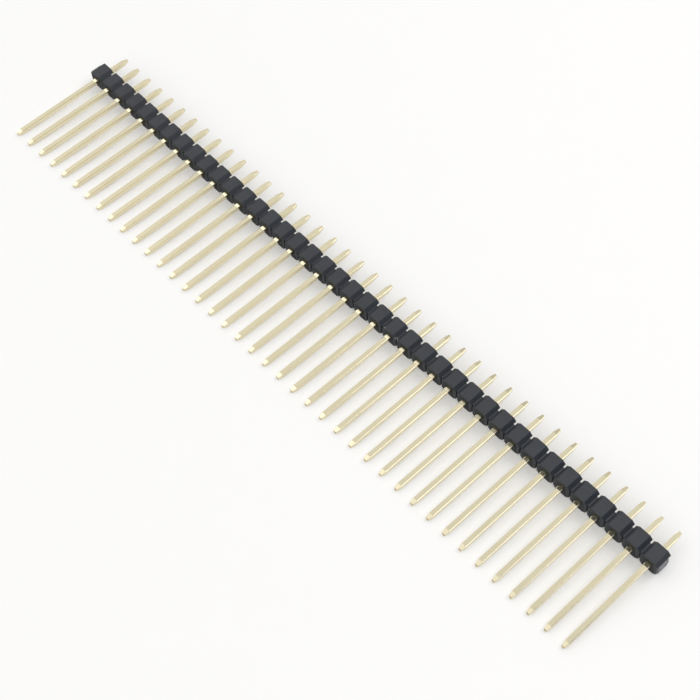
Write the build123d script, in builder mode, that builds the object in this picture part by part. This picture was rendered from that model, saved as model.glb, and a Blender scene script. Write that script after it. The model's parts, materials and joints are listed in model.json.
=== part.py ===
from build123d import *
import os
from math import atan2, cos, degrees, radians, sin

# A single-row pin header strip with long posts, in millimetres, lying as it comes to rest on a flat
# surface: on the lower front edge of its housing and the undersides of its post tips.
# The strip runs along X, the posts point towards -Y and the tails towards +Y, and Z is up.

# The row of pins
pin_count = 40
pitch = 2.54

# Square pins, measured out from the housing's front and rear faces
pin_side = 0.64
post_length = 13.4
post_taper = 0.65
post_tip_side = 0.38
tail_length = 3.1
tail_taper = 0.85
tail_tip_side = 0.36

# Coined teeth on the top and bottom of each post's root
tooth_count = 3
tooth_depth = 0.03
coin_reach = 0.53

# The moulded housing: octagonal blocks joined by narrow webs
housing_height = 2.5
housing_depth = 2.2
corner_cut = 0.44
web_width = 0.2
web_setback = 0.2

# A shallow square funnel in each block's front face, which leads down to the pin's hole
funnel_width = 1.8
funnel_height = 1.9
funnel_depth = 0.27
funnel_clearance = 0.01

# A channel along the rear face, between two rows of feet that stand on the board
channel_depth = 0.47

# Sizes that follow from those above
strip_length = pin_count * pitch
block_width = pitch - web_width
web_height = housing_height - 2 * corner_cut
body_depth = housing_depth - channel_depth
web_depth = body_depth - web_setback
web_middle = (web_setback + body_depth) / 2
channel_middle = (body_depth + housing_depth) / 2
funnel_slope = degrees(atan2((funnel_width - pin_side) / 2 - funnel_clearance, funnel_depth))
post_straight = post_length - post_taper
tail_end = housing_depth + tail_length
tooth_pitch = (funnel_depth + coin_reach) / tooth_count

# The rest pose: the front edge and the posts' undersides touch the surface together
rest_tilt = degrees(atan2((housing_height - pin_side) / 2, post_straight))
tilt_cos = cos(radians(rest_tilt))
tilt_sin = sin(radians(rest_tilt))
front_reach = post_length * tilt_cos + post_tip_side / 2 * tilt_sin
rear_reach = tail_end * tilt_cos + tail_tip_side / 2 * tilt_sin
root_height = housing_height / 2 * tilt_cos
root_middle = (front_reach - rear_reach) / 2

# Planes through the middle of the housing's front face, tilted with the strip
along_tails = Vector(0, tilt_cos, tilt_sin)
across_strip = Vector(0, -tilt_sin, tilt_cos)
along_strip = Vector(1, 0, 0)
root = Vector(0, root_middle, root_height)
face_plane = Plane(origin=root, x_dir=along_strip, z_dir=along_tails)
side_plane = Plane(origin=root, x_dir=along_tails, z_dir=along_strip)

os.makedirs("parts", exist_ok=True)

# The housing
with BuildPart() as housing:
    # One long bar makes all the webs, and a stub at each end where the strip was snapped off
    with BuildSketch(side_plane):
        with Locations((web_middle, 0)):
            Rectangle(web_depth, web_height)
    extrude(amount=strip_length / 2, both=True)

    # The blocks' cut corners leave a V notch above and below each web
    with BuildSketch(face_plane) as block_faces:
        with GridLocations(pitch, pitch, pin_count, 1):
            Rectangle(block_width, housing_height)
        chamfer(block_faces.vertices(), length=corner_cut)
    extrude(amount=housing_depth)

    # Funnels round the posts
    with BuildSketch(face_plane):
        with GridLocations(pitch, pitch, pin_count, 1):
            Rectangle(funnel_width, funnel_height)
    extrude(amount=funnel_depth, taper=funnel_slope, mode=Mode.SUBTRACT)

    # The channel, which leaves a foot at the top and bottom of each block
    with BuildSketch(side_plane):
        with Locations((channel_middle, 0)):
            Rectangle(channel_depth, web_height)
    extrude(amount=strip_length / 2, both=True, mode=Mode.SUBTRACT)

    # Square holes that the pins are pressed through
    with BuildSketch(face_plane):
        with GridLocations(pitch, pitch, pin_count, 1):
            Rectangle(pin_side, pin_side)
    extrude(amount=housing_depth, mode=Mode.SUBTRACT)

housing.part.label = "housing"
export_step(housing.part, "parts/housing.step")


def pin_outline(teeth):
    """Corners of half a pin's outline, from the tail's end to the post's, with so many coined teeth."""
    corners = [(tail_end, 0), (tail_end, tail_tip_side / 2), (tail_end - tail_taper, pin_side / 2)]
    for tooth in range(teeth):
        crest = funnel_depth - tooth * tooth_pitch
        corners.append((crest, pin_side / 2))
        corners.append((crest - tooth_pitch, pin_side / 2 - tooth_depth))
    if teeth:
        corners.append((-coin_reach, pin_side / 2))
    corners += [(-post_straight, pin_side / 2), (-post_length, post_tip_side / 2), (-post_length, 0)]
    return corners


# The pins: each is where its side outline, with the teeth, meets its plain plan outline
for number in range(1, pin_count + 1):
    pin_root = root + along_strip * pitch * (number - (pin_count + 1) / 2)
    with BuildPart() as pin:
        with BuildSketch(Plane(origin=pin_root, x_dir=along_tails, z_dir=along_strip)):
            with BuildLine():
                Polyline(*pin_outline(tooth_count))
                mirror(about=Plane.XZ)
            make_face()
        extrude(amount=pin_side / 2, both=True)
        with BuildSketch(Plane(origin=pin_root, x_dir=along_tails, z_dir=across_strip)):
            with BuildLine():
                Polyline(*pin_outline(0))
                mirror(about=Plane.XZ)
            make_face()
        extrude(amount=pin_side / 2, both=True, mode=Mode.INTERSECT)

    pin.part.label = f"pin_{number:02d}"
    export_step(pin.part, f"parts/pin_{number:02d}.step")

print(f"strip {strip_length:.2f} long, pins {tail_end + post_length:.2f}, rest tilt {rest_tilt:.2f} degrees")
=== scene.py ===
# %% [markdown]
# A pin header strip, dressed for its portrait
#
# The object is a single row of forty square pins held in a black moulded strip. It lies on a white
# surface, tilted a little, because it rests on the front edge of its housing and on its post tips.
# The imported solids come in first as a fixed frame. Everything made here goes where they say, in
# metres, so nothing has to be fitted by eye. The box around them is kept, to compare at the end.

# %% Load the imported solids
import bmesh
import bpy
import json
import random
from math import copysign, pi, radians
from mathutils import Matrix, Vector


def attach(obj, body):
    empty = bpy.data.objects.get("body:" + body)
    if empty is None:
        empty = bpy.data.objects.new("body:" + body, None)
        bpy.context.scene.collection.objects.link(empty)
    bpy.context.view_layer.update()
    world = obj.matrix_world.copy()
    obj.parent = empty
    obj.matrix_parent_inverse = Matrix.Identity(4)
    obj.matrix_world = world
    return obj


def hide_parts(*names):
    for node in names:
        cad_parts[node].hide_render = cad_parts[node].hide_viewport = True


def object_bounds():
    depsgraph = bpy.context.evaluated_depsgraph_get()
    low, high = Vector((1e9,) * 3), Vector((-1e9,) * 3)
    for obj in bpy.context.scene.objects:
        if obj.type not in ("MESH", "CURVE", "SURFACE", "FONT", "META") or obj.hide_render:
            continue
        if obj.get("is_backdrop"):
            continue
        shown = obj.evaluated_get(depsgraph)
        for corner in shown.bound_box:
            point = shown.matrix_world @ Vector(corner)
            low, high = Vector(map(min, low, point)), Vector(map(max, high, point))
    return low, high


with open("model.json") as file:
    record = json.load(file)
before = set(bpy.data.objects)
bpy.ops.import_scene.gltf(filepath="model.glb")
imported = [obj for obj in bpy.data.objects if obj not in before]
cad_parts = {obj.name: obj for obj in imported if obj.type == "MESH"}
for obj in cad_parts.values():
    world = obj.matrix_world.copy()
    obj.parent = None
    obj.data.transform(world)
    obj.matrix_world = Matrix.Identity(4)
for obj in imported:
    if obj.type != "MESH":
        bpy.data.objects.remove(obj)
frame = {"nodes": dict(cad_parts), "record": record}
cad_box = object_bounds()
print("solids:", len(frame["nodes"]), "from", tuple(cad_box[0]), "to", tuple(cad_box[1]))

# %% [markdown]
# The camera
#
# A camera can be placed by hand until the picture looks right, or worked out. Here it was worked out
# from the regular row of pins: only one place, aim and lens put all forty tips where they belong in a
# square picture. It stands close, so the near pins look about a quarter larger than the far ones.

# %% Place the camera
camera_data = bpy.data.cameras.new("portrait_camera")
camera_data.sensor_width = 36.0
camera_data.lens = 71.5
camera_data.clip_start = 0.01
camera = bpy.data.objects.new("portrait_camera", camera_data)
bpy.context.scene.collection.objects.link(camera)
bpy.context.scene.camera = camera
camera_place = Vector((0.076711, -0.063945, 0.137563))
camera_aim = Vector((0.006522, -0.000113, 0.0))
camera_roll = radians(-0.216)
look = (camera_aim - camera_place).to_track_quat("-Z", "Y").to_matrix().to_4x4()
camera.matrix_world = Matrix.Translation(camera_place) @ look @ Matrix.Rotation(camera_roll, 4, "Z")
print("camera", round((camera_aim - camera_place).length * 1000), "mm from its aim")

# %% [markdown]
# Where the strip lies
#
# Pieces are easier to model upright: X along the strip, Y from the housing's front face towards the
# short tails, and Z up from the pins' axes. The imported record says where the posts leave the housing
# and which way they point, and that gives one matrix that lays an upright piece down at rest.
#
# A rounded edge beside a flat face would bend the light across the whole face. Weighted Normal lets
# the larger face decide, but it gives up on faces as small as these in metres. So each piece is
# weighed in millimetres, and then made its real size.

# %% Work out the rest matrix
MM = 0.001
posts = next(m for m in frame["record"]["mounts"] if m["name"] == "posts")
towards_tails = -Vector(posts["axis"])
tilt = Vector((0, 1, 0)).angle(towards_tails)
lay_down = Matrix.Translation(Vector(posts["pos_m"])) @ Matrix.Rotation(tilt, 4, "X")
print("tilt", round(tilt * 180 / pi, 3), "degrees")


def make_piece(bm, name, sharp_angle):
    """Lays an upright shape down as an object, with edges that turn by more than an angle kept crisp."""
    bmesh.ops.transform(bm, matrix=Matrix.Scale(1 / MM, 4) @ lay_down, verts=bm.verts)
    large = bpy.data.meshes.new(name + "_large")
    bm.to_mesh(large)
    bm.free()
    large.shade_smooth()
    large.set_sharp_from_angle(angle=radians(sharp_angle))
    piece = bpy.data.objects.new(name, large)
    bpy.context.scene.collection.objects.link(piece)
    flats = piece.modifiers.new("flat_faces_stay_flat", "WEIGHTED_NORMAL")
    flats.keep_sharp = True
    graph = bpy.context.evaluated_depsgraph_get()
    weighed = piece.evaluated_get(graph)
    mesh = bpy.data.meshes.new_from_object(weighed, preserve_all_data_layers=True, depsgraph=graph)
    mesh.name = name
    mesh.transform(Matrix.Scale(MM, 4))
    piece.modifiers.clear()
    piece.data = mesh
    bpy.data.meshes.remove(large)
    return piece


# %% [markdown]
# The housing: one link
#
# The housing is one injection moulding that snaps apart, so it repeats at every pin: an octagonal
# block, and half a thin web on each side. A block could be drawn as an outline and extruded. A cube
# with four of its edges cut off gives the same eight sides with less to say. It is only as deep as
# the block's body, because the feet that stand on a circuit board come later.

# %% Cut a cube to an octagonal block
pitch = 2.54 * MM
housing_height = 2.5 * MM
housing_depth = 2.2 * MM
corner_cut = 0.44 * MM
web_width = 0.2 * MM
channel_depth = 0.47 * MM
block_width = pitch - web_width
body_depth = housing_depth - channel_depth
link = bmesh.new()
bmesh.ops.create_cube(link, size=1.0)
bmesh.ops.scale(link, vec=(block_width, body_depth, housing_height), verts=link.verts)
bmesh.ops.translate(link, vec=(0, body_depth / 2, 0), verts=link.verts)


def runs_along_y(edge):
    """True for an edge that points from the housing's front to its rear."""
    way = edge.verts[0].co - edge.verts[1].co
    return abs(way.y) > 0.99 * way.length


def cut_edges(bm, edges, offset, segments):
    """Bevels edges, flat with one segment and round with more."""
    return bmesh.ops.bevel(
        bm, geom=edges, offset=offset, offset_type="OFFSET", segments=segments,
        profile=0.5, affect="EDGES", clamp_overlap=True, material=-1)


cut_edges(link, [e for e in link.edges if runs_along_y(e)], corner_cut, 1)
print("block faces:", len(link.faces))

# %% [markdown]
# The funnel and the pin's hole
#
# Each post stands in a shallow square funnel that leads down to the hole its pin is pressed through.
# A boolean could cut both, but it leaves untidy edges. Insetting the eight-sided face and sliding the
# new corners where they belong keeps every loop at eight points, so the loops bridge cleanly.

# %% Sink the funnel and open the hole
funnel_width = 1.8 * MM
funnel_height = 1.9 * MM
funnel_depth = 0.27 * MM
funnel_corner = 0.12 * MM
pin_side = 0.64 * MM
pin_corner = 0.06 * MM
first_inset = 0.02 * MM


def inset_oblong(bm, face, width, height, corner):
    """Insets an eight-sided face, and slides its new corners onto an oblong with cut corners."""
    bmesh.ops.inset_individual(bm, faces=[face], thickness=first_inset)
    widest = max(v.co.x for v in face.verts)
    tallest = max(v.co.z for v in face.verts)
    for vert in face.verts:
        on_side = abs(vert.co.x) / widest > abs(vert.co.z) / tallest
        vert.co.x = copysign(width / 2 - (0 if on_side else corner), vert.co.x)
        vert.co.z = copysign(height / 2 - (corner if on_side else 0), vert.co.z)


front = min(link.faces, key=lambda f: f.calc_center_median().y)
rear = max(link.faces, key=lambda f: f.calc_center_median().y)
inset_oblong(link, front, funnel_width, funnel_height, funnel_corner)
inset_oblong(link, front, pin_side, pin_side, pin_corner)
bmesh.ops.translate(link, vec=(0, funnel_depth, 0), verts=front.verts)
inset_oblong(link, rear, pin_side, pin_side, pin_corner)
hole_rims = list(front.edges) + list(rear.edges)
bmesh.ops.delete(link, geom=[front, rear], context="FACES_ONLY")
bmesh.ops.bridge_loops(link, edges=hole_rims)
print("faces with funnel and hole:", len(link.faces))

# %% [markdown]
# The webs and the feet
#
# A web is as tall as a block's flat side and set back from the front, so the strip snaps cleanly. A
# cut across each side leaves a face behind it, which is pulled out to half the web's width. Its end
# is left open, because the next link's web meets it there. The rear face is cut level with the web's
# top and underside, and what lies beyond the cuts is pulled back into two feet. The channel between
# the feet lets the white surface show through every gap at the rear.

# %% Pull half a web out of each side, and two feet out of the rear
web_setback = 0.2 * MM
on_plane = 0.0001 * MM
same_level = 0.001 * MM
foot_level = housing_height / 2 - corner_cut


def cut_faces(bm, faces, place, normal):
    """Cuts faces along a plane, and leaves the rest of the shape alone."""
    here = list(dict.fromkeys(part for f in faces for part in (f, *f.edges, *f.verts)))
    bmesh.ops.bisect_plane(bm, geom=here, dist=on_plane, plane_co=place, plane_no=normal)


def side_faces(bm, side):
    """The faces that look straight along the strip, on one side of a block."""
    return [
        f for f in bm.faces
        if f.normal.x * side > 0.99 and f.calc_center_median().x * side > 0.4 * pitch]


for side in (-1, 1):
    cut_faces(link, side_faces(link, side), (0, web_setback, 0), (0, 1, 0))
    web = max(side_faces(link, side), key=lambda f: f.calc_center_median().y)
    web = bmesh.ops.extrude_discrete_faces(link, faces=[web])["faces"][0]
    bmesh.ops.translate(link, vec=(side * web_width / 2, 0, 0), verts=web.verts)
    bmesh.ops.delete(link, geom=[web], context="FACES_ONLY")
for side in (-1, 1):
    link.normal_update()
    rear_faces = [
        f for f in link.faces if f.normal.y > 0.99 and f.calc_center_median().y > 0.9 * body_depth]
    cut_faces(link, rear_faces, (0, 0, side * foot_level), (0, 0, 1))
    behind = [f for f in link.faces if f.normal.y > 0.99 and f.calc_center_median().z * side > foot_level]
    foot = bmesh.ops.dissolve_faces(link, faces=behind, use_verts=True)["region"][0]
    foot = bmesh.ops.extrude_discrete_faces(link, faces=[foot])["faces"][0]
    bmesh.ops.translate(link, vec=(0, channel_depth, 0), verts=foot.verts)
link.normal_update()
seams = [
    e for e in link.edges
    if e.is_manifold and e.calc_face_angle() < radians(1) and abs(e.link_faces[0].normal.y) < 0.5
    and all(abs(v.co.y - body_depth) < same_level for v in e.verts)]
bmesh.ops.dissolve_edges(link, edges=seams, use_verts=True)
print("faces with webs and feet:", len(link.faces), "after closing", len(seams), "seams")

# %% [markdown]
# Rounded edges
#
# A mould can't make a knife edge, and it is the small radius that catches the light along the blocks'
# front edges. The rims of both faces and the edges of the top and underside are rounded, and the
# funnel's rim too, by less. The inner corners of the V notches stay sharp, as they are in the moulding.

# %% Round the outer edges
edge_round = 0.045 * MM
funnel_round = 0.03 * MM


def is_rim(edge, depth):
    """True for an edge that lies at one depth and has a real corner along it."""
    flat = all(abs(v.co.y - depth) < same_level for v in edge.verts)
    return flat and edge.is_manifold and edge.calc_face_angle() > radians(10)


def is_top_edge(edge):
    """True for a front-to-rear edge between a block's top or underside and a cut corner."""
    high = all(abs(v.co.z) > housing_height / 2 - same_level for v in edge.verts)
    return high and runs_along_y(edge)


def in_funnel(edge):
    """True for an edge within the funnel's outline."""
    return all(
        abs(v.co.x) < funnel_width / 2 + same_level and abs(v.co.z) < funnel_height / 2 + same_level
        for v in edge.verts)


funnel_rim = [e for e in link.edges if is_rim(e, 0) and in_funnel(e)]
cut_edges(link, funnel_rim, funnel_round, 2)
outer_edges = [e for e in link.edges if is_rim(e, 0) and not in_funnel(e)]
outer_edges += [e for e in link.edges if is_rim(e, housing_depth)]
outer_edges += [e for e in link.edges if is_top_edge(e)]
cut_edges(link, outer_edges, edge_round, 2)
print("rounded", len(outer_edges), "outer edges and", len(funnel_rim), "at the funnel")

# %% [markdown]
# Forty links in a row
#
# The link is copied along the strip and merged where the half webs meet, so the moulding is one skin.
# The two ends are where it was snapped off a longer strip. Their faces are filled, divided and
# pushed about a little, by a seeded random number, because a snapped face is never flat. Faces that
# look to the front are marked with an attribute, because their finish is duller.

# %% Copy the link and close the snapped ends
pin_count = 40
weld_reach = 0.002 * MM
snapped_rim = 0.09 * MM
snapped_cuts = 5
snapped_share = 0.0016
housing_crisp_angle = 24
first_x = -pitch * (pin_count - 1) / 2
one_link = link.verts[:] + link.edges[:] + link.faces[:]
bmesh.ops.translate(link, vec=(first_x, 0, 0), verts=link.verts)
for number in range(1, pin_count):
    copied = bmesh.ops.duplicate(link, geom=one_link)["geom"]
    copied_verts = [g for g in copied if isinstance(g, bmesh.types.BMVert)]
    bmesh.ops.translate(link, vec=(number * pitch, 0, 0), verts=copied_verts)
bmesh.ops.remove_doubles(link, verts=link.verts, dist=weld_reach)
open_edges = [e for e in link.edges if e.is_boundary]
snapped = bmesh.ops.holes_fill(link, edges=open_edges)["faces"]
dice = random.Random(40)
for face in snapped:
    bmesh.ops.inset_individual(link, faces=[face], thickness=snapped_rim)
    grid = bmesh.ops.subdivide_edges(link, edges=face.edges[:], cuts=snapped_cuts, use_grid_fill=True)
    for vert in grid["geom_inner"]:
        if isinstance(vert, bmesh.types.BMVert):
            vert.co.x *= 1 - dice.uniform(0, snapped_share)
bmesh.ops.recalc_face_normals(link, faces=link.faces)
link.normal_update()
front_mask = link.faces.layers.float.new("front_face")
for face in link.faces:
    face[front_mask] = 1.0 if face.normal.y < -0.75 else 0.0
housing = make_piece(link, "housing_moulding", housing_crisp_angle)
print("housing:", len(housing.data.polygons), "faces, snapped ends:", len(snapped))

# %% [markdown]
# A pin
#
# Each pin is a length of square wire with slightly round corners. Dies squeeze its ends to blunt
# points, and stamp a few shallow teeth where the post leaves the housing, which spreads the metal a
# little to the sides. A stretched cube is cut across at every place where the section changes, and the
# loops of points that this gives are squeezed in or spread.

# %% Stretch, round and cut the wire
post_length = 13.4 * MM
post_taper = 0.65 * MM
post_tip_side = 0.38 * MM
tail_length = 3.1 * MM
tail_end = housing_depth + tail_length
tail_taper = 0.85 * MM
tail_tip_side = 0.36 * MM
tooth_count = 3
tooth_depth = 0.03 * MM
tooth_step = 0.03 * MM
coin_reach = 0.53 * MM
coin_spread = 1.1
tip_round = 0.03 * MM
tooth_pitch = (funnel_depth + coin_reach) / tooth_count

pin = bmesh.new()
bmesh.ops.create_cube(pin, size=1.0)
bmesh.ops.scale(pin, vec=(pin_side, tail_end + post_length, pin_side), verts=pin.verts)
bmesh.ops.translate(pin, vec=(0, (tail_end - post_length) / 2, 0), verts=pin.verts)
cut_edges(pin, [e for e in pin.edges if runs_along_y(e)], pin_corner, 2)
crests = [funnel_depth - tooth * tooth_pitch for tooth in range(tooth_count + 1)]
valleys = [crest + tooth_step for crest in crests[1:]]
for cut in (*crests, *valleys, post_taper - post_length, tail_end - tail_taper):
    everything = pin.verts[:] + pin.edges[:] + pin.faces[:]
    bmesh.ops.bisect_plane(pin, geom=everything, dist=on_plane, plane_co=(0, cut, 0), plane_no=(0, 1, 0))
print("pin faces:", len(pin.faces))


# %% Squeeze the tips and stamp the teeth
def loop_at(bm, place):
    """The points of a pin at one place along it."""
    return [v for v in bm.verts if abs(v.co.y - place) < weld_reach]


for place, tip_side in ((-post_length, post_tip_side), (tail_end, tail_tip_side)):
    squeeze = tip_side / pin_side
    bmesh.ops.scale(pin, vec=(squeeze, 1, squeeze), verts=loop_at(pin, place))
stamped = pin_side / 2 - tooth_depth
for place in valleys:
    for vert in loop_at(pin, place):
        vert.co.z = max(-stamped, min(stamped, vert.co.z))
coined = [v for v in pin.verts if same_level - coin_reach < v.co.y < tooth_step / 2]
bmesh.ops.scale(pin, vec=(coin_spread, 1, 1), verts=coined)
tip_points = loop_at(pin, -post_length) + loop_at(pin, tail_end)
tip_rims = [e for e in pin.edges if all(v in tip_points for v in e.verts)]
cut_edges(pin, tip_rims, tip_round, 2)
bmesh.ops.recalc_face_normals(pin, faces=pin.faces)
print("pin faces with tips and teeth:", len(pin.faces))

# %% [markdown]
# Forty pins
#
# All the pins come off one reel, so they are copies of one shape, each with its own mesh at its own
# place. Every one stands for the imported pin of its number. The tips taper by only about ten degrees,
# so even edges as slight as that are kept crisp.

# %% Copy the pin into every block
pin_crisp_angle = 8
pins = []
for number in range(1, pin_count + 1):
    copy = pin.copy()
    bmesh.ops.translate(copy, vec=(first_x + (number - 1) * pitch, 0, 0), verts=copy.verts)
    pins.append(make_piece(copy, f"plated_pin_{number:02d}", pin_crisp_angle))
pin.free()
print("pins:", len(pins), "of", len(pins[0].data.polygons), "faces each")

# %% [markdown]
# Node helpers and shared effects
#
# Two finishes and the surface below are built from nodes. Three effects are wanted more than once, so
# each is a node group with its own inputs: a slow cloudy change of tone, a fine grain, and the few
# specks of dust that settle on anything small. They read Object coordinates, so nothing is unwrapped.

# %% Make the shared node groups
def add_node(tree, kind, values=None, **settings):
    """Adds a node, sets its own settings, and the values of its inputs by name."""
    node = tree.nodes.new(kind)
    for name, value in settings.items():
        setattr(node, name, value)
    for name, value in (values or {}).items():
        node.inputs[name].default_value = value
    return node


def start_group(name, inputs, outputs):
    """Starts a node group with named number inputs, a vector input and number outputs."""
    tree = bpy.data.node_groups.new(name, "ShaderNodeTree")
    tree.interface.new_socket("Coordinates", in_out="INPUT", socket_type="NodeSocketVector")
    for label in inputs:
        tree.interface.new_socket(label, in_out="INPUT", socket_type="NodeSocketFloat")
    for label in outputs:
        tree.interface.new_socket(label, in_out="OUTPUT", socket_type="NodeSocketFloat")
    return tree, tree.nodes.new("NodeGroupInput"), tree.nodes.new("NodeGroupOutput")


cloud, cloud_in, cloud_out = start_group("cloudy_tone", ["Scale", "Low", "High"], ["Tone"])
billow = add_node(cloud, "ShaderNodeTexNoise", {"Detail": 3.0, "Roughness": 0.55})
spread = add_node(cloud, "ShaderNodeMapRange", {"From Min": 0.3, "From Max": 0.7})
cloud.links.new(cloud_in.outputs["Coordinates"], billow.inputs["Vector"])
cloud.links.new(cloud_in.outputs["Scale"], billow.inputs["Scale"])
cloud.links.new(billow.outputs["Fac"], spread.inputs["Value"])
cloud.links.new(cloud_in.outputs["Low"], spread.inputs["To Min"])
cloud.links.new(cloud_in.outputs["High"], spread.inputs["To Max"])
cloud.links.new(spread.outputs["Result"], cloud_out.inputs["Tone"])

grain, grain_in, grain_out = start_group("fine_grain", ["Scale"], ["Height"])
coarse = add_node(grain, "ShaderNodeTexNoise", {"Detail": 4.0, "Roughness": 0.7})
cells = add_node(grain, "ShaderNodeTexVoronoi", feature="SMOOTH_F1")
heap = add_node(grain, "ShaderNodeMath", operation="MULTIPLY_ADD")
heap.inputs[1].default_value = 0.45
grain.links.new(grain_in.outputs["Coordinates"], coarse.inputs["Vector"])
grain.links.new(grain_in.outputs["Scale"], coarse.inputs["Scale"])
grain.links.new(grain_in.outputs["Coordinates"], cells.inputs["Vector"])
grain.links.new(grain_in.outputs["Scale"], cells.inputs["Scale"])
grain.links.new(cells.outputs["Distance"], heap.inputs[0])
grain.links.new(coarse.outputs["Fac"], heap.inputs[2])
grain.links.new(heap.outputs["Value"], grain_out.inputs["Height"])

dust, dust_in, dust_out = start_group("settled_dust", ["Scale", "Size", "Patch"], ["Mask"])
specks = add_node(dust, "ShaderNodeTexVoronoi", {"Randomness": 1.0}, feature="F1")
small = add_node(dust, "ShaderNodeMath", operation="LESS_THAN")
patches = add_node(dust, "ShaderNodeTexNoise", {"Scale": 700.0, "Detail": 1.0})
rare = add_node(dust, "ShaderNodeMath", operation="GREATER_THAN")
both = add_node(dust, "ShaderNodeMath", operation="MULTIPLY")
dust.links.new(dust_in.outputs["Coordinates"], specks.inputs["Vector"])
dust.links.new(dust_in.outputs["Scale"], specks.inputs["Scale"])
dust.links.new(specks.outputs["Distance"], small.inputs[0])
dust.links.new(dust_in.outputs["Size"], small.inputs[1])
dust.links.new(dust_in.outputs["Coordinates"], patches.inputs["Vector"])
dust.links.new(patches.outputs["Fac"], rare.inputs[0])
dust.links.new(dust_in.outputs["Patch"], rare.inputs[1])
dust.links.new(small.outputs["Value"], both.inputs[0])
dust.links.new(rare.outputs["Value"], both.inputs[1])
dust.links.new(both.outputs["Value"], dust_out.inputs["Mask"])
print("node groups:", [g.name for g in bpy.data.node_groups])


# %% Start a material
def start_material(name):
    """A material with a Principled shader and Object coordinates to build on."""
    material = bpy.data.materials.new(name)
    material.use_nodes = True
    tree = material.node_tree
    shader = tree.nodes["Principled BSDF"]
    place = tree.nodes.new("ShaderNodeTexCoord").outputs["Object"]
    return material, tree, shader, place


def use_group(tree, group, place, **values):
    """Places a shared effect in a material with its own values."""
    node = add_node(tree, "ShaderNodeGroup", node_tree=group)
    tree.links.new(place, node.inputs["Coordinates"])
    for name, value in values.items():
        node.inputs[name].default_value = value
    return node


def mix_colour(tree, factor, first, second):
    """Mixes two colours, each given as a colour or as a socket, by a factor socket."""
    node = add_node(tree, "ShaderNodeMix", data_type="RGBA")
    tree.links.new(factor, node.inputs["Factor"])
    for colour, socket in ((first, node.inputs[6]), (second, node.inputs[7])):
        if isinstance(colour, tuple):
            socket.default_value = (*colour, 1.0)
        else:
            tree.links.new(colour, socket)
    return node.outputs[2]


def add_bump(tree, shader, height, strength, distance):
    """Lets a height raise and sink the surface a little."""
    bump = add_node(tree, "ShaderNodeBump", {"Strength": strength, "Distance": distance})
    tree.links.new(height, bump.inputs["Height"])
    tree.links.new(bump.outputs["Normal"], shader.inputs["Normal"])


print("helpers ready")

# %% [markdown]
# Black moulded plastic
#
# The housing is a glass-filled black plastic from a spark-eroded mould: not quite black, a little
# cool, with a fine grain that makes it matte. A flat dark colour would look like a hole in the
# picture, so the tone drifts slowly, the grain is raised, and the gloss varies. The front faces are
# duller than the rest. The snapped ends are stress-whitened, which is painted where X is within about
# a tenth of a millimetre of the strip's ends. Two small scuff marks, one on a block's top front edge
# and one in a notch beside it, are each painted lighter round a point: partly the scuff itself, and
# partly a painted sheen where the rubbed plastic shines.

# %% Mix the housing's plastic
plastic, tree, shader, place = start_material("matte_black_moulding")
tone = use_group(tree, cloud, place, Scale=450.0, Low=0.0, High=1.0).outputs["Tone"]
base = mix_colour(tree, tone, (0.0140, 0.0170, 0.0230), (0.0190, 0.0230, 0.0305))
ends = tree.nodes.new("ShaderNodeSeparateXYZ")
tree.links.new(place, ends.inputs["Vector"])
from_middle = add_node(tree, "ShaderNodeMath", operation="ABSOLUTE")
tree.links.new(ends.outputs["X"], from_middle.inputs[0])
strip_half = pitch * pin_count / 2
white_from = strip_half - 0.13 * MM
white_full = strip_half - 0.07 * MM
whitened = add_node(tree, "ShaderNodeMapRange", {"From Min": white_from, "From Max": white_full})
tree.links.new(from_middle.outputs["Value"], whitened.inputs["Value"])
torn = use_group(tree, cloud, place, Scale=5200.0, Low=0.35, High=0.95).outputs["Tone"]
torn_share = add_node(tree, "ShaderNodeMath", operation="MULTIPLY")
tree.links.new(whitened.outputs["Result"], torn_share.inputs[0])
tree.links.new(torn, torn_share.inputs[1])
base = mix_colour(tree, torn_share.outputs["Value"], base, (0.27, 0.27, 0.28))
specks_on = use_group(tree, dust, place, Scale=1500.0, Size=0.055, Patch=0.62).outputs["Mask"]
base = mix_colour(tree, specks_on, base, (0.30, 0.29, 0.28))
# Two scuff marks, each painted lighter round a point: partly the scuff itself, partly a painted sheen.
scuffs_with_painted_sheen = (((8.2, 0, 1.24), 0.16), ((10.16, 0.05, 0.84), 0.30))
for mark, size in scuffs_with_painted_sheen:
    apart = add_node(tree, "ShaderNodeVectorMath", operation="DISTANCE")
    tree.links.new(place, apart.inputs[0])
    apart.inputs[1].default_value = lay_down @ (Vector(mark) * MM)
    within = add_node(tree, "ShaderNodeMapRange", {"From Min": size * MM, "From Max": 0.4 * size * MM})
    tree.links.new(apart.outputs["Value"], within.inputs["Value"])
    scuff_and_sheen_share = add_node(tree, "ShaderNodeMath", operation="MULTIPLY")
    tree.links.new(within.outputs["Result"], scuff_and_sheen_share.inputs[0])
    tree.links.new(torn, scuff_and_sheen_share.inputs[1])
    base = mix_colour(tree, scuff_and_sheen_share.outputs["Value"], base, (0.36, 0.35, 0.34))
tree.links.new(base, shader.inputs["Base Color"])
gloss = use_group(tree, cloud, place, Scale=1400.0, Low=0.48, High=0.56).outputs["Tone"]
shader.inputs["IOR"].default_value = 1.6
on_front = add_node(tree, "ShaderNodeAttribute", attribute_name="front_face")
duller = add_node(tree, "ShaderNodeMath", operation="MULTIPLY_ADD")
duller.inputs[1].default_value = 0.20
tree.links.new(on_front.outputs["Fac"], duller.inputs[0])
tree.links.new(gloss, duller.inputs[2])
tree.links.new(duller.outputs["Value"], shader.inputs["Roughness"])
skin = use_group(tree, grain, place, Scale=11000.0).outputs["Height"]
add_bump(tree, shader, skin, 0.22, 0.012 * MM)
print("plastic nodes:", len(tree.nodes))

# %% [markdown]
# Pale gold plating
#
# The pins are brass wire with a thin pale gold plating. Metal shows its surroundings, so most of its
# look is the light. What the finish adds is fine lines drawn lengthwise by the wire die, a slow drift
# towards a deeper gold, and raw, rougher metal on the very ends where the wire was cut. A Mapping node
# stretches the noise along the pins.

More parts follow.
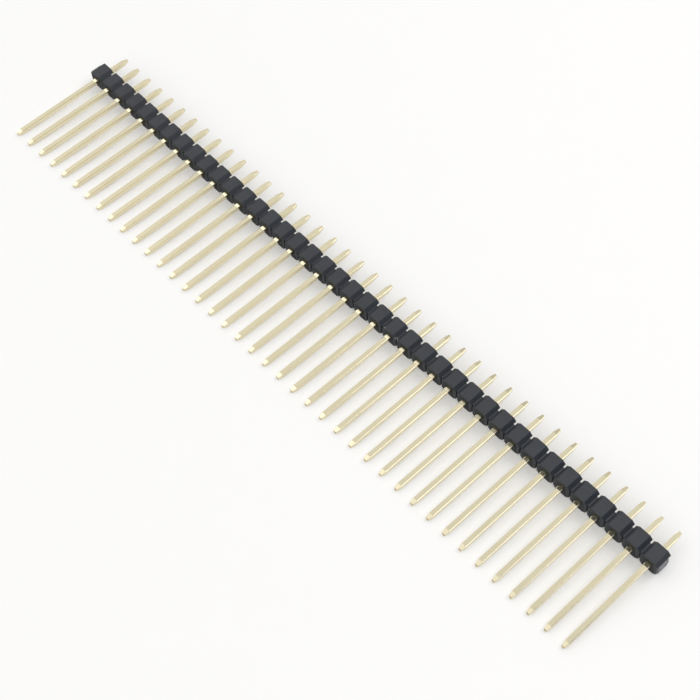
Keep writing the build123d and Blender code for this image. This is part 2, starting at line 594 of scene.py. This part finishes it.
# %% Mix the pins' plating
plating, tree, shader, place = start_material("pale_gold_plating")
shader.inputs["Metallic"].default_value = 1.0
tone = use_group(tree, cloud, place, Scale=260.0, Low=0.0, High=1.0).outputs["Tone"]
base = mix_colour(tree, tone, (0.84, 0.766, 0.55), (0.80, 0.725, 0.51))
along = add_node(tree, "ShaderNodeMapping", {"Scale": (1.0, 0.012, 1.0)})
tree.links.new(place, along.inputs["Vector"])
lines = use_group(tree, cloud, along.outputs["Vector"], Scale=14000.0, Low=0.0, High=1.0).outputs["Tone"]
cut_ends = tree.nodes.new("ShaderNodeSeparateXYZ")
tree.links.new(place, cut_ends.inputs["Vector"])
reach = add_node(tree, "ShaderNodeMath", operation="ABSOLUTE")
tree.links.new(cut_ends.outputs["Y"], reach.inputs[0])
tip_reach = cad_box[1].y
raw_from = tip_reach - 0.07 * MM
raw_full = tip_reach - 0.02 * MM
raw = add_node(tree, "ShaderNodeMapRange", {"From Min": raw_from, "From Max": raw_full})
tree.links.new(reach.outputs["Value"], raw.inputs["Value"])
base = mix_colour(tree, raw.outputs["Result"], base, (0.50, 0.41, 0.24))
specks_on = use_group(tree, dust, place, Scale=1300.0, Size=0.04, Patch=0.72).outputs["Mask"]
base = mix_colour(tree, specks_on, base, (0.55, 0.50, 0.40))
tree.links.new(base, shader.inputs["Base Color"])
satin = add_node(tree, "ShaderNodeMapRange", {"To Min": 0.12, "To Max": 0.15})
tree.links.new(lines, satin.inputs["Value"])
rougher = add_node(tree, "ShaderNodeMath", operation="MULTIPLY_ADD")
rougher.inputs[1].default_value = 0.25
tree.links.new(raw.outputs["Result"], rougher.inputs[0])
tree.links.new(satin.outputs["Result"], rougher.inputs[2])
tree.links.new(rougher.outputs["Value"], shader.inputs["Roughness"])
add_bump(tree, shader, lines, 0.012, 0.006 * MM)
print("plating nodes:", len(tree.nodes))

# %% [markdown]
# Finishes onto pieces
#
# Every piece wears its finish and rides on the one body there is, because nothing on a header moves.
# The imported solid that it stands for is hidden.

# %% Give each piece its finish and its body, and hide its solid
for piece, node, finish, slot in [(housing, "housing", plastic, "housing_plastic")] + [
        (made, f"pin_{number:02d}", plating, "pin_plating") for number, made in enumerate(pins, 1)]:
    piece.data.materials.append(finish)
    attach(piece, "root")
    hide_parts(node)
print("dressed", 1 + len(pins), "pieces")

# %% [markdown]
# The white surface
#
# The strip lies on plain white card. The card is a real surface that takes the shadows, with the
# faintest mottling. A quarter of what the camera and the reflections see of it is plain white, which
# keeps the shadows light. Far from the strip, where a low camera would see the card fade, that share
# grows to the whole, so that the background stays even from any side.

# %% Lay the card
card_mesh = bpy.data.meshes.new("white_card")
sheet = bmesh.new()
bmesh.ops.create_grid(sheet, x_segments=1, y_segments=1, size=4.0)
sheet.to_mesh(card_mesh)
sheet.free()
card = bpy.data.objects.new("white_card", card_mesh)
bpy.context.scene.collection.objects.link(card)
card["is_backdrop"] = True
paper, tree, shader, place = start_material("white_card")
mottle = use_group(tree, cloud, place, Scale=160.0, Low=0.0, High=1.0).outputs["Tone"]
white = mix_colour(tree, mottle, (0.968, 0.960, 0.944), (0.975, 0.967, 0.951))
tree.links.new(white, shader.inputs["Base Color"])
shader.inputs["Roughness"].default_value = 0.85
shader.inputs["Specular IOR Level"].default_value = 0.2
fibres = use_group(tree, grain, place, Scale=5000.0).outputs["Height"]
add_bump(tree, shader, fibres, 0.05, 0.02 * MM)
glow = add_node(tree, "ShaderNodeEmission", {"Color": (0.97, 0.962, 0.946, 1.0), "Strength": 1.0})
distance = add_node(tree, "ShaderNodeVectorMath", operation="LENGTH")
tree.links.new(place, distance.inputs[0])
far = add_node(
    tree, "ShaderNodeMapRange", {"From Min": 0.25, "From Max": 0.9, "To Min": 0.25},
    interpolation_type="SMOOTHSTEP")
tree.links.new(distance.outputs["Value"], far.inputs["Value"])
rays = tree.nodes.new("ShaderNodeLightPath")
seen = add_node(tree, "ShaderNodeMath", operation="ADD")
tree.links.new(rays.outputs["Is Camera Ray"], seen.inputs[0])
tree.links.new(rays.outputs["Is Glossy Ray"], seen.inputs[1])
seen_too = add_node(tree, "ShaderNodeMath", operation="ADD", use_clamp=True)
tree.links.new(seen.outputs["Value"], seen_too.inputs[0])
tree.links.new(rays.outputs["Is Transmission Ray"], seen_too.inputs[1])
share = add_node(tree, "ShaderNodeMath", operation="MULTIPLY")
tree.links.new(far.outputs["Result"], share.inputs[0])
tree.links.new(seen_too.outputs["Value"], share.inputs[1])
either = tree.nodes.new("ShaderNodeMixShader")
tree.links.new(share.outputs["Value"], either.inputs["Fac"])
tree.links.new(shader.outputs["BSDF"], either.inputs[1])
tree.links.new(glow.outputs["Emission"], either.inputs[2])
tree.links.new(either.outputs["Shader"], tree.nodes["Material Output"].inputs["Surface"])
card_mesh.materials.append(paper)
print("card", card.dimensions.x, "m wide")

# %% [markdown]
# Soft light
#
# One soft panel hangs behind the strip, on the right. It throws the shadows forward and to the left.
# Its level is plain, so the white card renders just under white and a colour renders about as it is
# written.

# %% Hang the panel
def hang_panel(name, middle, size, radiance):
    """A soft panel that faces the strip, as bright as its radiance."""
    data = bpy.data.lights.new(name, "AREA")
    data.shape = "RECTANGLE"
    data.size, data.size_y = size
    data.energy = radiance * pi * size[0] * size[1]
    lamp = bpy.data.objects.new(name, data)
    facing = (-Vector(middle)).to_track_quat("-Z", "Y").to_matrix().to_4x4()
    lamp.matrix_world = Matrix.Translation(middle) @ facing
    lamp.visible_camera = False
    bpy.context.scene.collection.objects.link(lamp)
    return lamp


panel = hang_panel("back_panel", (0.24, 0.33, 0.50), (0.40, 0.36), 2.1)
print("hung", panel.name)

# %% [markdown]
# The room
#
# The room fills the shadows, and the metal shows it: pins that see white all round look like paper. It
# could be a picture of a studio. Here it is a pale grey with soft round parts that are lighter or
# darker, because then each part can be put where one kind of face looks. The right-hand cuts of the
# blocks look towards the dark part low on the right. The stamped teeth of the nearest pins look at a
# small dark part almost overhead, and those of the far pins at a light one further to the left.

# %% Fill the room
world = bpy.data.worlds.new("grey_room")
bpy.context.scene.world = world
world.use_nodes = True
tree = world.node_tree
way = tree.nodes.new("ShaderNodeTexCoord").outputs["Generated"]


def patch_towards(direction, start, full):
    """How far a direction lies inside a soft round patch of the room, from 0 to 1."""
    towards = add_node(tree, "ShaderNodeVectorMath", operation="DOT_PRODUCT")
    tree.links.new(way, towards.inputs[0])
    towards.inputs[1].default_value = Vector(direction).normalized()
    patch = add_node(
        tree, "ShaderNodeMapRange", {"From Min": start, "From Max": full}, interpolation_type="SMOOTHSTEP")
    tree.links.new(towards.outputs["Value"], patch.inputs["Value"])
    return patch.outputs["Result"]


# Each part: its direction, how near a ray has to come for its edge and its middle, and its colour
room_parts = (
    ((-0.50, 0.25, 0.83), 0.80, 0.97, (0.838, 0.838, 0.838)),
    ((0.1, -0.85, 0.5), 0.35, 0.8, (1.2, 1.2, 1.19)),
    ((0.90, 0.32, 0.30), 0.54, 0.82, (0.08, 0.10, 0.16)),
    ((0, 0, -1), -0.14, -0.08, (0.95, 0.95, 0.945)),
    ((-0.31, 0.592, 0.743), 0.991, 0.998, (0.60, 0.60, 0.60)),
    ((-0.56, -0.07, 0.825), 0.962, 0.985, (1.6, 1.6, 1.58)),
    ((-0.215, 0.065, 0.974), 0.9915, 0.9965, (0.02, 0.02, 0.025)),
)
room = (0.918, 0.918, 0.918)
for direction, start, full, colour in room_parts:
    room = mix_colour(tree, patch_towards(direction, start, full), room, colour)
tree.links.new(room, tree.nodes["Background"].inputs["Color"])
bpy.context.scene.view_settings.view_transform = "Standard"
print("room nodes:", len(tree.nodes))

# %% [markdown]
# Measure and finish
#
# The dressed object has to keep the imported solids' size. How much the box has grown is printed, in
# micrometres.

# %% Compare the boxes
seen_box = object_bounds()
cad_size = cad_box[1] - cad_box[0]
seen_size = seen_box[1] - seen_box[0]
print("grown by, in micrometres:", [round((b - a) * 1e6, 2) for a, b in zip(cad_size, seen_size)])
